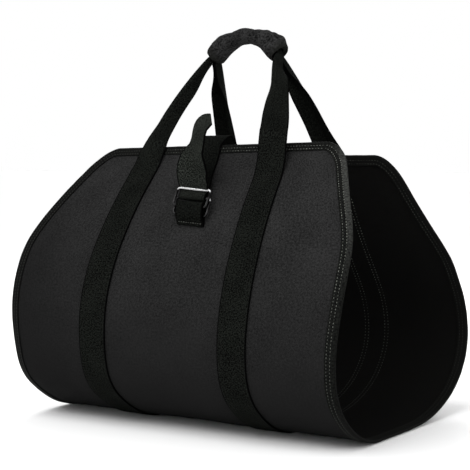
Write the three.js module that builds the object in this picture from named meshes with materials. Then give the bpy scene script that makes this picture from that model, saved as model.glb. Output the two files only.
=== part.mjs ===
import * as THREE from 'three';

// Log carrier: one bound canvas sheet hangs as an open U from two webbing loops, which
// meet in a padded grip. A strap from the back edge closes in two rings on the front.
// Millimetres, +Z up, front towards -Y, left and right as seen from the front.

// Canvas sheet, cut flat with slanted upper edges and rounded top corners
const SHEET_LENGTH = 990;
const SHEET_WIDTH = 460;
const TOP_EDGE_LENGTH = 340;
const CANVAS_WALL = 1.5;
const CORNER_HEIGHT = 35;
const CORNER_RUN = 21;
const SLANT_START = 0.716;
const SLANT_EASE = 0.05;
const CURL_WIDTH = 42;
const CURL_DEPTH = 8;
const CURL_START = 60;
const CURL_FULL = 200;

// Binding tape, folded over the edge all round
const BINDING_LEG = 12;
const BINDING_WALL = 1;

// Webbing of the two carrying loops
const WEBBING_WIDTH = 38;
const WEBBING_WALL = 1.8;
const CREASE_WIDTH = 4;
const LOOP_SPACING = 200;
const EDGE_OVERRUN = 3;
const STAND_OFF_LENGTH = 56;

// Grip, arched between the loops
const GRIP_SPAN = 96;
const GRIP_DROP = 25;
const GRIP_RISE = 140;
const GRIP_SHIFT = -2;
const GRIP_PAD = 4.8;
const GRIP_SIDE_PAD = 3.6;
const GRIP_CROWN = 8;

// Closing strap with its tab and rings
const TAB_BASE_SHARE = 0.75;
const TAB_OFFSET = 11;
const STRAP_SLANT = 8;
const STRAP_SKEW = -6;
const STRAP_LIFT = 7;
const LIFT_LENGTH = 92;
const STRAP_DRIFT = 7;
const CREST_SHIFT = 8;
const STRAP_SEWN_LENGTH = 62;
const CREST_HEIGHT = 9;
const CREST_SETBACK = 15;
const BRIDGE_SAG = 26;
const TAIL_LENGTH = 92;
const RING_WIRE = 3;
const RING_DEPTH = 22;
const RING_STEP = 9;
const RING_SIDE_ROOM = 3.4;
const RING_CORNER = 3.6;
const LOWER_BAR = 12;

// Gap kept between pieces that touch
const GAP = 0.3;

const HALF_LENGTH = SHEET_LENGTH / 2;
const HALF_WIDTH = SHEET_WIDTH / 2;
const HALF_WEBBING = WEBBING_WIDTH / 2;
const FOLD_DEPTH = (WEBBING_WIDTH - CREASE_WIDTH) / 2;
const FRONT = -1;
const BACK = 1;

// Slope of the cloth in degrees from level, at shares of the way from the bottom's middle
// to the top edge: the front's left and right ends, and the back.
const SECTION = [
  { share: 0.0, left: 0, right: 0, back: 0 },
  { share: 0.1, left: 0, right: 0, back: 2 },
  { share: 0.2, left: 23.5, right: 25.5, back: 14.5 },
  { share: 0.3, left: 36, right: 47.5, back: 28 },
  { share: 0.4, left: 75.5, right: 85.5, back: 54.5 },
  { share: 0.5, left: 87.5, right: 106, back: 96 },
  { share: 0.6, left: 108, right: 112.5, back: 122.5 },
  { share: 0.7, left: 122.5, right: 118, back: 124 },
  { share: 0.8, left: 127.5, right: 124.5, back: 118 },
  { share: 0.9, left: 132, right: 132.5, back: 111.5 },
  { share: 1.0, left: 126.5, right: 128, back: 106 },
];

// Middle lines of the loops at the top edge, as shares of half their spacing
const TOP_LINES = { frontLeft: 0.915, frontRight: 0.85, backLeft: 0.785, backRight: 0.825 };

// How far each leg has come off the sheet by the top edge
const STAND_OFFS = { frontLeft: 11, frontRight: 19.5, backLeft: 9.5, backRight: 0 };

// How far each leg of the loops is folded lengthwise, in degrees for each half, at shares
// of the way from the top edge of the sheet to the grip.
const LEG_FOLD = [
  { share: 0.0, frontLeft: 33, frontRight: 0, backLeft: 28, backRight: 0 },
  { share: 0.12, frontLeft: 42, frontRight: 4, backLeft: 33, backRight: 26 },
  { share: 0.3, frontLeft: 56, frontRight: 12, backLeft: 39, backRight: 47 },
  { share: 0.45, frontLeft: 64, frontRight: 28, backLeft: 45, backRight: 50 },
  { share: 0.6, frontLeft: 68, frontRight: 48, backLeft: 55, backRight: 57 },
  { share: 0.7, frontLeft: 80, frontRight: 76, backLeft: 76, backRight: 76 },
  { share: 0.78, frontLeft: 90, frontRight: 90, backLeft: 90, backRight: 90 },
  { share: 1.0, frontLeft: 90, frontRight: 90, backLeft: 90, backRight: 90 },
];

// The strap's free tail at shares of its length, in degrees: how far it leans out from
// upright and to its right, how far it is twisted, and how far its tip curls back.
const TAIL = [
  { share: 0.0, lean: -28, side: -4, twist: 0 },
  { share: 0.1, lean: 4, side: -2, twist: 0 },
  { share: 0.25, lean: 12, side: 3, twist: -3 },
  { share: 0.4, lean: 8, side: 8, twist: -8 },
  { share: 0.55, lean: -4, side: 11, twist: -20 },
  { share: 0.7, lean: -10, side: 9, twist: -32 },
  { share: 0.82, lean: -14, side: 8, twist: -30 },
  { share: 0.92, lean: -34, side: 14, twist: -20 },
  { share: 1.0, lean: -66, side: 22, twist: -12 },
];

const radians = THREE.MathUtils.degToRad;
const lerp = THREE.MathUtils.lerp;
const smoothstep = THREE.MathUtils.smoothstep;

function tableValue(table, column, share) {
  const last = table.length - 1;
  let row = 1;
  while (row < last && table[row].share < share) row += 1;
  const low = table[row - 1];
  const high = table[row];
  const part = THREE.MathUtils.clamp((share - low.share) / (high.share - low.share), 0, 1);
  return lerp(low[column], high[column], part);
}

// The cloth's section, followed in short steps: run is level, rise is upright.
const TRACE_STEPS = 198;

function tracePanel(column) {
  const step = HALF_LENGTH / TRACE_STEPS;
  const trace = [{ run: 0, rise: 0 }];
  for (let i = 0; i < TRACE_STEPS; i += 1) {
    const slope = radians(tableValue(SECTION, column, (i + 0.5) / TRACE_STEPS));
    const last = trace[i];
    trace.push({ run: last.run + Math.cos(slope) * step, rise: last.rise + Math.sin(slope) * step });
  }
  return trace;
}

const TRACES = { left: tracePanel('left'), right: tracePanel('right'), back: tracePanel('back') };

function panelPoint(column, along) {
  const trace = TRACES[column];
  const place = Math.min(along / HALF_LENGTH, 1) * TRACE_STEPS;
  const index = Math.min(Math.floor(place), TRACE_STEPS - 1);
  const low = trace[index];
  const high = trace[index + 1];
  const slope = radians(tableValue(SECTION, column, along / HALF_LENGTH));
  const beyond = Math.max(0, along - HALF_LENGTH);
  return {
    run: lerp(low.run, high.run, place - index) + beyond * Math.cos(slope),
    rise: lerp(low.rise, high.rise, place - index) + beyond * Math.sin(slope),
    slope,
  };
}

// A point of the hanging sheet: across is level, up runs from the bottom's middle to the
// top edge, and off stands out from the inner face of the cloth.
function sheetPoint(side, across, up, off) {
  const left = panelPoint(side === FRONT ? 'left' : 'back', up);
  const right = panelPoint(side === FRONT ? 'right' : 'back', up);
  const share = across / SHEET_WIDTH + 0.5;
  const slope = lerp(left.slope, right.slope, share);
  const acrossWay = new THREE.Vector3(
    SHEET_WIDTH, side * (right.run - left.run), right.rise - left.rise);
  const upWay = new THREE.Vector3(0, side * Math.cos(slope), Math.sin(slope));
  const outward = acrossWay.cross(upWay).normalize().multiplyScalar(-side);
  const point = new THREE.Vector3(
    across, side * lerp(left.run, right.run, share), lerp(left.rise, right.rise, share));
  return point.addScaledVector(outward, off - marginCurl(side, across, up));
}

// The front's left margin curls in towards the load, but not under the bottom or by the
// rounded corner.
function marginCurl(side, across, up) {
  if (side === BACK) return 0;
  const into = Math.max(0, (CURL_WIDTH - across - halfWidthAt(up)) / CURL_WIDTH);
  const clearOfCorner = 1 - smoothstep(up, CURL_FULL, HALF_LENGTH - CORNER_HEIGHT);
  return CURL_DEPTH * into * into * smoothstep(up, CURL_START, CURL_FULL) * clearOfCorner;
}

// Half the sheet's width at a height along the cloth
function halfWidthAt(up) {
  const past = up / HALF_LENGTH - SLANT_START;
  const slant = (past + Math.hypot(past, SLANT_EASE)) / 2 / (1 - SLANT_START);
  const straight = lerp(HALF_WIDTH, TOP_EDGE_LENGTH / 2, slant);
  const corner = THREE.MathUtils.clamp((up - HALF_LENGTH) / CORNER_HEIGHT + 1, 0, 1);
  return straight - CORNER_RUN * (1 - Math.sqrt(1 - corner * corner));
}

// Middle line of a loop's leg on the sheet, left for leg -1 and right for leg 1
function legName(side, leg) {
  return `${side === FRONT ? 'front' : 'back'}${leg < 0 ? 'Left' : 'Right'}`;
}

function loopLine(side, leg, up) {
  const share = Math.min(up / HALF_LENGTH, 1);
  return (leg * lerp(1, TOP_LINES[legName(side, leg)], share ** 3) * LOOP_SPACING) / 2;
}

// Heights along the cloth at which every piece on it has a row, closer round the corner
const PLAIN_ROWS = 25;
const CORNER_ROWS = [0, 0.26, 0.5, 0.72, 0.87, 1];
const ROWS = [];
for (let i = 0; i < PLAIN_ROWS; i += 1) {
  ROWS.push(((HALF_LENGTH - CORNER_HEIGHT) * i) / PLAIN_ROWS);
}
for (const share of CORNER_ROWS) {
  ROWS.push(HALF_LENGTH - CORNER_HEIGHT + CORNER_HEIGHT * share);
}

// A solid through rings of points. Each ring holds one face's points and then the other
// face's, backwards, so the two end caps are plain strips.
function loft(rings, closed) {
  const size = rings[0].length;
  const positions = [];
  for (const ring of rings) {
    for (const point of ring) positions.push(point.x, point.y, point.z);
  }
  const index = [];
  const spans = closed ? rings.length : rings.length - 1;
  for (let i = 0; i < spans; i += 1) {
    const here = i * size;
    const next = ((i + 1) % rings.length) * size;
    for (let j = 0; j < size; j += 1) {
      const k = (j + 1) % size;
      index.push(here + j, here + k, next + k, here + j, next + k, next + j);
    }
  }
  if (!closed) {
    const last = (rings.length - 1) * size;
    for (let j = 0; j < size / 2 - 1; j += 1) {
      const far = size - 1 - j;
      index.push(j, far, j + 1, j + 1, far, far - 1);
      index.push(last + j, last + j + 1, last + far, last + j + 1, last + far - 1, last + far);
    }
  }
  return facingOut(positions, index);
}

// The same triangles, turned if they enclose a negative volume
function facingOut(positions, index) {
  const corner = (i) => new THREE.Vector3().fromArray(positions, index[i] * 3);
  let volume = 0;
  for (let i = 0; i < index.length; i += 3) {
    volume += corner(i).dot(corner(i + 1).cross(corner(i + 2)));
  }
  const geometry = new THREE.BufferGeometry();
  geometry.setAttribute('position', new THREE.Float32BufferAttribute(positions, 3));
  geometry.setIndex(volume < 0 ? index.slice().reverse() : index);
  geometry.computeVertexNormals();
  return geometry;
}

// Columns of the cloth: one just clear of the tape, and the edges and crease of a webbing
const TAPE_CLEAR = 1.3 * BINDING_LEG;
const LOOP_COLUMNS = [-HALF_WEBBING, -CREASE_WIDTH / 2, CREASE_WIDTH / 2, HALF_WEBBING];

// Canvas: rows from the front's top edge under the bottom to the back's top edge
function canvasGeometry() {
  const stations = [];
  for (let i = ROWS.length - 1; i > 0; i -= 1) stations.push({ side: FRONT, up: ROWS[i] });
  for (const up of ROWS) stations.push({ side: BACK, up });
  const rings = stations.map(({ side, up }) => {
    const half = halfWidthAt(up);
    const left = LOOP_COLUMNS.map((column) => loopLine(side, -1, up) + column);
    const right = LOOP_COLUMNS.map((column) => loopLine(side, 1, up) + column);
    const margin = [0, BINDING_LEG, TAPE_CLEAR, (TAPE_CLEAR + CURL_WIDTH) / 2].map((depth) => depth - half);
    const columns = [...margin, ...left, 0, ...right, half - BINDING_LEG, half];
    const outer = columns.map((across) => sheetPoint(side, across, up, CANVAS_WALL));
    const inner = columns.map((across) => sheetPoint(side, across, up, 0));
    return [...outer, ...inner.reverse()];
  });
  return loft(rings, false);
}

// Binding: a channel over the sheet's edge, carried right round its outline
function bindingGeometry() {
  const outline = [];
  const top = ROWS.length - 1;
  for (let i = top; i > 0; i -= 1) outline.push({ across: halfWidthAt(ROWS[i]), along: -ROWS[i] });
  for (const up of ROWS) outline.push({ across: halfWidthAt(up), along: up });
  const topEdge = (side) => {
    const left = loopLine(side, -1, HALF_LENGTH);
    const right = loopLine(side, 1, HALF_LENGTH);
    return [left - HALF_WEBBING, left + HALF_WEBBING, 0, right - HALF_WEBBING, right + HALF_WEBBING];
  };
  for (const across of topEdge(BACK).reverse()) outline.push({ across, along: HALF_LENGTH });
  for (let i = top; i > 0; i -= 1) outline.push({ across: -halfWidthAt(ROWS[i]), along: ROWS[i] });
  for (const up of ROWS) outline.push({ across: -halfWidthAt(up), along: -up });
  for (const across of topEdge(FRONT)) outline.push({ across, along: -HALF_LENGTH });

  const outside = -GAP - BINDING_WALL;
  const channel = [
    [BINDING_LEG, CANVAS_WALL + GAP + BINDING_WALL], [outside, CANVAS_WALL + GAP + BINDING_WALL],
    [outside, outside], [BINDING_LEG, outside],
    [BINDING_LEG, -GAP], [-GAP, -GAP],
    [-GAP, CANVAS_WALL + GAP], [BINDING_LEG, CANVAS_WALL + GAP],
  ];
  const rings = outline.map((place, i) => {
    const before = outline[(i + outline.length - 1) % outline.length];
    const after = outline[(i + 1) % outline.length];
    const into = edgeInward(before, place, after);
    return channel.map(([depth, off]) => {
      const across = place.across + into.across * depth;
      const along = place.along + into.along * depth;
      return sheetPoint(along < 0 ? FRONT : BACK, across, Math.abs(along), off);
    });
  });
  return loft(rings, true);
}

// Way into the sheet at a corner of its outline, long enough to keep both edges parallel
function edgeInward(before, place, after) {
  const flat = ({ across, along }) => new THREE.Vector2(across, along);
  const first = flat(place).sub(flat(before)).normalize();
  const second = flat(after).sub(flat(place)).normalize();
  const mean = first.clone().add(second).normalize();
  const stretch = 1 / mean.dot(first);
  return { across: -mean.y * stretch, along: mean.x * stretch };
}

// Top edges in the middle, which the grip and the closing strap are set from
const FRONT_TOP = sheetPoint(FRONT, 0, HALF_LENGTH, CANVAS_WALL);
const BACK_TOP = sheetPoint(BACK, 0, HALF_LENGTH, CANVAS_WALL);
const GRIP_MIDDLE = new THREE.Vector3(
  GRIP_SHIFT, (FRONT_TOP.y + BACK_TOP.y) / 2, FRONT_TOP.z + GRIP_RISE);

// The grip's arch: share runs from -1 at its left end to 1 at its right end.
function gripFrame(share) {
  const middle = new THREE.Vector3(
    GRIP_MIDDLE.x + (share * GRIP_SPAN) / 2, GRIP_MIDDLE.y, GRIP_MIDDLE.z - GRIP_DROP * share * share);
  const way = new THREE.Vector3(GRIP_SPAN / 2, 0, -2 * GRIP_DROP * share).normalize();
  const up = new THREE.Vector3(-way.z, 0, way.x);
  return { middle, way, up };
}

// Section of a loop's webbing, folded along both sides of its middle crease: level is the
// way across it, made square to the way along it.
function foldedRing(crease, way, level, fold) {
  const width = level.clone().addScaledVector(way, -level.dot(way)).normalize();
  const inward = way.clone().cross(width);
  const half = CREASE_WIDTH / 2;
  const reach = half + FOLD_DEPTH * Math.cos(fold);
  const depth = FOLD_DEPTH * Math.sin(fold);
  const inset = half - WEBBING_WALL * Math.tan(fold / 2);
  const innerReach = reach - WEBBING_WALL * Math.sin(fold);
  const innerDepth = depth + WEBBING_WALL * Math.cos(fold);
  const corners = [[-reach, depth], [-half, 0], [half, 0], [reach, depth],
    [innerReach, innerDepth], [inset, WEBBING_WALL], [-inset, WEBBING_WALL], [-innerReach, innerDepth]];
  return corners.map(([across, into]) => crease.clone()
    .addScaledVector(width, across).addScaledVector(inward, into));
}

// Rise of a strap from the cloth onto the binding, between two distances below the edge
const RAISE_START = 2.4 * BINDING_LEG;
const RAISE_END = 1.1 * BINDING_LEG;

// Share of a leg's stand-off reached at a height along the cloth
const LIFT_POWER = 1.3;

function liftAt(up) {
  const above = Math.max(0, up - HALF_LENGTH + STAND_OFF_LENGTH);
  return (above / (STAND_OFF_LENGTH + EDGE_OVERRUN)) ** LIFT_POWER;
}

// How far a loop's inner face stands off the sheet, raised on the binding and lifting
function loopOff(side, leg, up) {
  const overBinding = smoothstep(up, HALF_LENGTH - RAISE_START, HALF_LENGTH - RAISE_END);
  const lift = liftAt(up) * STAND_OFFS[legName(side, leg)];
  return CANVAS_WALL + GAP + overBinding * (BINDING_WALL + 3 * GAP) + lift;
}

function flatRing(side, leg, up, travel) {
  const offsets = LOOP_COLUMNS;
  const inner = loopOff(side, leg, up);
  const point = (offset, off) => sheetPoint(
    side, loopLine(side, leg, up) - side * travel * offset, up, off);
  const outerFace = offsets.map((offset) => point(offset, inner + WEBBING_WALL));
  const innerFace = offsets.map((offset) => point(offset, inner));
  return [...outerFace, ...innerFace.reverse()];
}

// Stations along the grip: how far its wrap swells, and the share of the crown that it
// carries on top, where it bunches up near both ends.
const GRIP_STATIONS = [
  { share: -1, swell: 1.1, crown: 0.35 },
  { share: -0.86, swell: 1.16, crown: 0.8 },
  { share: -0.62, swell: 1.06, crown: 0.75 },
  { share: -0.35, swell: 0.97, crown: 0.35 },
  { share: -0.08, swell: 1, crown: 0.12 },
  { share: 0.2, swell: 0.95, crown: 0 },
  { share: 0.46, swell: 0.98, crown: 0.4 },
  { share: 0.7, swell: 1.08, crown: 0.9 },
  { share: 0.88, swell: 1.2, crown: 1 },
  { share: 1, swell: 1.12, crown: 0.5 },
];

// Carrying loop: up one line of the sheet, through the grip and down the other line
const LEG_SPANS = 14;
const LEG_ENDS = {
  frontLeft: { splay: 0.75, ease: 0.15 },
  frontRight: { splay: 2.2, ease: 0.35 },
  backLeft: { splay: 1.3, ease: 0.2 },
  backRight: { splay: 0.75, ease: 0.08 },
};
const LEAVING_EASE = 0.2;
const LEVEL_SHARE = 0.35;

function loopGeometry(side) {
  const heights = [side === FRONT ? GAP : 0, ...ROWS.slice(1), HALF_LENGTH + EDGE_OVERRUN];
  const creaseAt = (leg, up) => sheetPoint(
    side, loopLine(side, leg, up), up, loopOff(side, leg, up) + WEBBING_WALL);
  const sheetLevel = (leg, up) => {
    const line = loopLine(side, leg, up);
    const across = sheetPoint(side, line + 1, up, 0).sub(sheetPoint(side, line - 1, up, 0));
    return across.normalize().multiplyScalar(side * leg);
  };
  const sheetRing = (leg, up) => {
    const folding = STAND_OFFS[legName(side, leg)] > 0 ? liftAt(up) : 0;
    if (folding === 0) return flatRing(side, leg, up, -leg);
    const way = creaseAt(leg, up).sub(creaseAt(leg, up - EDGE_OVERRUN)).multiplyScalar(-leg).normalize();
    const fold = folding * radians(LEG_FOLD[0][legName(side, leg)]);
    return foldedRing(creaseAt(leg, up), way, sheetLevel(leg, up), fold);
  };
  const throughGrip = (share) => {
    const { middle, way, up } = gripFrame(share);
    const crease = middle.clone().addScaledVector(up, (-side * (CREASE_WIDTH + GAP)) / 2);
    crease.y += side * (FOLD_DEPTH / 2);
    return { crease, way };
  };
  const legRings = (leg) => {
    const start = creaseAt(leg, HALF_LENGTH + EDGE_OVERRUN);
    const leaving = start.clone().sub(creaseAt(leg, HALF_LENGTH)).normalize();
    const { crease: end, way } = throughGrip(leg);
    const arriving = way.multiplyScalar(-leg);
    const { splay, ease } = LEG_ENDS[legName(side, leg)];
    arriving.y -= side * splay;
    arriving.normalize();
    const length = start.distanceTo(end);
    const curve = new THREE.CubicBezierCurve3(
      start, start.clone().addScaledVector(leaving, LEAVING_EASE * length),
      end.clone().addScaledVector(arriving, -ease * length), end);
    const rings = [];
    for (let i = 1; i < LEG_SPANS; i += 1) {
      const share = i / LEG_SPANS;
      const forward = curve.getTangent(share).multiplyScalar(-leg);
      const fold = radians(tableValue(LEG_FOLD, legName(side, leg), share));
      const level = forward.clone().cross(new THREE.Vector3(0, side, 0)).normalize();
      level.lerp(sheetLevel(leg, HALF_LENGTH), Math.max(0, 1 - share / LEVEL_SHARE));
      rings.push(foldedRing(curve.getPoint(share), forward, level, fold));
    }
    return rings;
  };
  const rings = heights.map((up) => sheetRing(-1, up));
  rings.push(...legRings(-1));
  for (const { share } of GRIP_STATIONS) {
    const { crease, way } = throughGrip(share);
    rings.push(foldedRing(crease, way, way.clone().cross(new THREE.Vector3(0, side, 0)), Math.PI / 2));
  }
  rings.push(...legRings(1).reverse());
  rings.push(...heights.slice().reverse().map((up) => sheetRing(1, up)));
  return loft(rings, false);
}

// Grip: a padded wrap rolled round both folded webbings, its long seam underneath
const GRIP_SIDES = 16;
const SEAM_TURN = 0.04;

function gripGeometry() {
  const holeHeight = CREASE_WIDTH + 2 * GAP;
  const holeWidth = FOLD_DEPTH / 2 + GAP;
  const rings = GRIP_STATIONS.map(({ share, swell, crown }) => {
    const { middle, up } = gripFrame(share);
    const outer = [];
    const inner = [];
    for (let i = 0; i <= GRIP_SIDES; i += 1) {
      const round = (2 * Math.PI * i) / GRIP_SIDES;
      const turn = THREE.MathUtils.clamp(round, SEAM_TURN, 2 * Math.PI - SEAM_TURN) - Math.PI / 2;
      const level = Math.cos(turn);
      const rise = Math.sin(turn);
      const square = 1 / Math.max(Math.abs(level), Math.abs(rise));
      outer.push(middle.clone()
        .addScaledVector(up, rise * (holeHeight + GRIP_PAD) * swell)
        .addScaledVector(up, Math.max(0, rise) * crown * GRIP_CROWN)
        .add(new THREE.Vector3(0, level * (holeWidth + GRIP_SIDE_PAD) * swell, 0)));
      inner.push(middle.clone()
        .addScaledVector(up, rise * square * holeHeight)
        .add(new THREE.Vector3(0, level * square * holeWidth, 0)));
    }
    return [...outer, ...inner.reverse()];
  });
  return loft(rings, false);
}

// The closing strap's own line on the front: along runs up it from the tab's sewn end, and
// the strap hangs a little clear of the cloth between there and the top edge.
const SLANT = radians(STRAP_SLANT);
const SKEW = radians(STRAP_SKEW);
const TAB_BASE = TAB_BASE_SHARE * HALF_LENGTH;

function strapPoint(across, along, off) {
  const lift = STRAP_LIFT * Math.sin(Math.PI * THREE.MathUtils.clamp(along / LIFT_LENGTH, 0, 1));
  const drift = STRAP_DRIFT * smoothstep(along, LIFT_LENGTH / 2, LIFT_LENGTH);
  return sheetPoint(
    FRONT,
    TAB_OFFSET + across * Math.cos(SKEW) - along * Math.sin(SLANT) - drift,
    TAB_BASE + across * Math.sin(SKEW) + along * Math.cos(SLANT),
    off + lift);
}

// A strap through stations that each hold a point of one face and the way across
function strapGeometry(stations, halfWidth, wall) {
  const rings = stations.map(({ point, width }, i) => {
    const before = stations[Math.max(i - 1, 0)].point;
    const after = stations[Math.min(i + 1, stations.length - 1)].point;
    const arriving = point.clone().sub(before).normalize();
    const leaving = after.clone().sub(point).normalize();
    const way = arriving.clone().add(leaving).normalize();
    const bend = i === 0 || i === stations.length - 1 ? 1 : way.dot(arriving);
    const away = width.clone().cross(way).normalize();
    const edges = [-halfWidth, halfWidth].map((reach) => point.clone().addScaledVector(width, reach));
    const far = edges.map((edge) => edge.clone().addScaledVector(away, wall / bend));
    return [edges[0], edges[1], far[1], far[0]];
  });
  return loft(rings, false);
}

function strapStation(along, off) {
  const point = strapPoint(0, along, off);
  const width = strapPoint(1, along, off).sub(strapPoint(-1, along, off)).normalize();
  return { point, width };
}

// Places of the ring bars in the tab and of the ring bows on the strap, as along and off
const WIRE_RADIUS = RING_WIRE / 2;
const CLOTH_GAP = 0.5;
const TAB_FACE = CANVAS_WALL + CLOTH_GAP + WEBBING_WALL;
const LOWER_RING = {
  bar: { along: LOWER_BAR, off: TAB_FACE + GAP + WIRE_RADIUS },
  bow: { along: LOWER_BAR + RING_DEPTH, off: TAB_FACE + 3 * GAP + WIRE_RADIUS },
};
const UPPER_RING = {
  bar: { along: LOWER_BAR + RING_STEP, off: LOWER_RING.bar.off + RING_WIRE + 1.5 * GAP },
  bow: { along: LOWER_RING.bow.along + RING_STEP, off: LOWER_RING.bow.off + RING_WIRE + 3 * GAP },
};
const TURN_STEPS = 6;
const TAB_FLAT_SHARE = 0.3;
const TAB_SHOULDER = 1.3;

// Tab: webbing sewn to the front, folded over both ring bars and down onto itself
function tabGeometry() {
  const inside = TAB_FACE;
  const outside = UPPER_RING.bar.off + WIRE_RADIUS + GAP;
  const foldAt = UPPER_RING.bar.along + WIRE_RADIUS;
  const sewn = TAB_FACE + GAP;
  const stations = [
    strapStation(0, sewn),
    strapStation(TAB_FLAT_SHARE * LOWER_BAR, sewn),
    strapStation(LOWER_RING.bar.along - RING_WIRE, LOWER_RING.bar.off + TAB_SHOULDER * RING_WIRE),
    strapStation(UPPER_RING.bar.along - TAB_SHOULDER * RING_WIRE, outside),
  ];
  for (let i = 0; i <= TURN_STEPS; i += 1) {
    const turn = Math.PI / 2 - (Math.PI * i) / TURN_STEPS;
    const radius = (outside - inside) / 2;
    stations.push(strapStation(
      foldAt + radius * Math.cos(turn), inside + radius + radius * Math.sin(turn)));
  }
  stations.push(strapStation(foldAt / 2, inside));
  stations.push(strapStation(0, inside));
  return strapGeometry(stations, HALF_WEBBING, WEBBING_WALL);
}

// The strap's way between the two top edges, in shares of its crests' setback
const BRIDGE_SPANS = 22;
const BACK_CREST = 0.45;
const BACK_DESCENT = 1.4;
const FRONT_DESCENT = 1.7;
const FRONT_SPANS = 7;
const TAIL_SPANS = 16;

// Closing strap: sewn to the back, over both top edges, down behind the bows of both
// rings, round the lower bow, up behind the upper bow and on as a free tail
function closingStrapStations() {
  const stations = [];
  const topAlong = (HALF_LENGTH - TAB_BASE) / Math.cos(SLANT);
  const edgeLine = TAB_OFFSET - topAlong * Math.sin(SLANT);
  const faceOver = CANVAS_WALL + BINDING_WALL + 3 * GAP + WEBBING_WALL;
  const level = new THREE.Vector3(1, 0, 0);

  const backHeights = [HALF_LENGTH - STRAP_SEWN_LENGTH, HALF_LENGTH - 2 * BINDING_LEG,
    HALF_LENGTH - RAISE_END, HALF_LENGTH + EDGE_OVERRUN];
  const backFaces = [TAB_FACE, TAB_FACE, faceOver, faceOver];
  backHeights.forEach((up, i) => {
    stations.push({ point: sheetPoint(BACK, edgeLine, up, backFaces[i]), width: level });
  });

  const backEdge = stations[stations.length - 1].point;
  const frontEdge = strapPoint(0, topAlong + EDGE_OVERRUN, faceOver);
  const backCrest = backEdge.clone().add(new THREE.Vector3(0, -BACK_CREST * CREST_SETBACK, CREST_HEIGHT));
  const frontCrest = frontEdge.clone().add(new THREE.Vector3(CREST_SHIFT, CREST_SETBACK, CREST_HEIGHT));
  const sag = backCrest.clone().lerp(frontCrest, 0.5);
  sag.z = FRONT_TOP.z - BRIDGE_SAG;
  const bridge = new THREE.CatmullRomCurve3([
    backEdge, backCrest,
    backEdge.clone().add(new THREE.Vector3(0, -BACK_DESCENT * CREST_SETBACK, 0)),
    sag,
    frontEdge.clone().add(new THREE.Vector3(CREST_SHIFT, FRONT_DESCENT * CREST_SETBACK, 0)),
    frontCrest, frontEdge], false, 'centripetal');
  for (let i = 1; i < BRIDGE_SPANS; i += 1) {
    stations.push({ point: bridge.getPoint(i / BRIDGE_SPANS), width: level });
  }

  const mainFace = TAB_FACE + GAP;
  for (let i = 0; i <= FRONT_SPANS; i += 1) {
    const along = lerp(topAlong + EDGE_OVERRUN, LOWER_RING.bow.along, i / FRONT_SPANS);
    const overBinding = smoothstep(along, topAlong - RAISE_START, topAlong - RAISE_END);
    stations.push(strapStation(along, lerp(mainFace, faceOver, overBinding)));
  }
  const radius = LOWER_RING.bow.off - mainFace;
  for (let i = 1; i <= TURN_STEPS; i += 1) {
    const turn = (Math.PI * i) / TURN_STEPS - Math.PI / 2;
    stations.push(strapStation(
      LOWER_RING.bow.along - radius * Math.cos(turn), LOWER_RING.bow.off + radius * Math.sin(turn)));
  }
  const behindUpper = UPPER_RING.bow.off - WIRE_RADIUS - 3 * GAP - WEBBING_WALL;
  const start = strapPoint(0, UPPER_RING.bow.along, behindUpper);
  stations.push(strapStation(UPPER_RING.bow.along, behindUpper));
  const base = stations[stations.length - 1].width;
  const point = start.clone();
  for (let i = 1; i <= TAIL_SPANS; i += 1) {
    const share = i / TAIL_SPANS;
    const lean = radians(tableValue(TAIL, 'lean', share));
    const aside = radians(tableValue(TAIL, 'side', share));
    const way = new THREE.Vector3(
      Math.sin(aside), -Math.sin(lean) * Math.cos(aside), Math.cos(lean) * Math.cos(aside));
    point.addScaledVector(way, TAIL_LENGTH / TAIL_SPANS);
    const level = base.clone().addScaledVector(way, -base.dot(way)).normalize();
    const width = level.applyAxisAngle(way, radians(tableValue(TAIL, 'twist', share)));
    stations.push({ point: point.clone(), width });
  }
  return stations;
}

// Ring of round wire with a straight bar and a bow with rounded shoulders
const WIRE_SIDES = 8;

function ringGeometry(ring) {
  const bar = strapPoint(0, ring.bar.along, ring.bar.off);
  const bow = strapPoint(0, ring.bow.along, ring.bow.off);
  const width = strapStation(ring.bow.along, ring.bow.off).width;
  const upward = bow.clone().sub(bar);
  const aside = upward.dot(width);
  upward.addScaledVector(width, -aside).normalize();
  const normal = width.clone().cross(upward);
  const half = HALF_WEBBING + RING_SIDE_ROOM + WIRE_RADIUS;
  const depth = bar.distanceTo(bow);
  const centres = [
    { x: half - RING_CORNER, y: RING_CORNER, from: -90 },
    { x: half - RING_CORNER, y: depth - RING_CORNER, from: 0 },
    { x: RING_CORNER - half, y: depth - RING_CORNER, from: 90 },
    { x: RING_CORNER - half, y: RING_CORNER, from: 180 },
  ];
  const path = [];
  for (const centre of centres) {
    for (const turn of [0, 30, 60, 90]) {
      const angle = radians(centre.from + turn);
      path.push({
        x: centre.x + RING_CORNER * Math.cos(angle), y: centre.y + RING_CORNER * Math.sin(angle), angle });
    }
  }
  const rings = path.map(({ x, y, angle }) => {
    const middle = bar.clone().addScaledVector(width, x + aside / 2).addScaledVector(upward, y);
    const radial = width.clone().multiplyScalar(Math.cos(angle)).addScaledVector(upward, Math.sin(angle));
    const ringPoints = [];
    for (let i = 0; i < WIRE_SIDES; i += 1) {
      const round = (2 * Math.PI * (i + 0.5)) / WIRE_SIDES;
      ringPoints.push(middle.clone()
        .addScaledVector(radial, WIRE_RADIUS * Math.cos(round))
        .addScaledVector(normal, WIRE_RADIUS * Math.sin(round)));
    }
    return ringPoints;
  });
  return loft(rings, true);
}

// Finishes
const canvasFinish = new THREE.MeshStandardMaterial({ color: 0x2a2a2b, roughness: 0.88 });
const webbingFinish = new THREE.MeshStandardMaterial({ color: 0x161714, roughness: 0.8 });
const bindingFinish = new THREE.MeshStandardMaterial({ color: 0x1c1d1a, roughness: 0.75 });
const gripFinish = new THREE.MeshStandardMaterial({ color: 0x202021, roughness: 0.9 });
const steelFinish = new THREE.MeshStandardMaterial({ color: 0xc9c9c9, roughness: 0.22, metalness: 1 });

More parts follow.
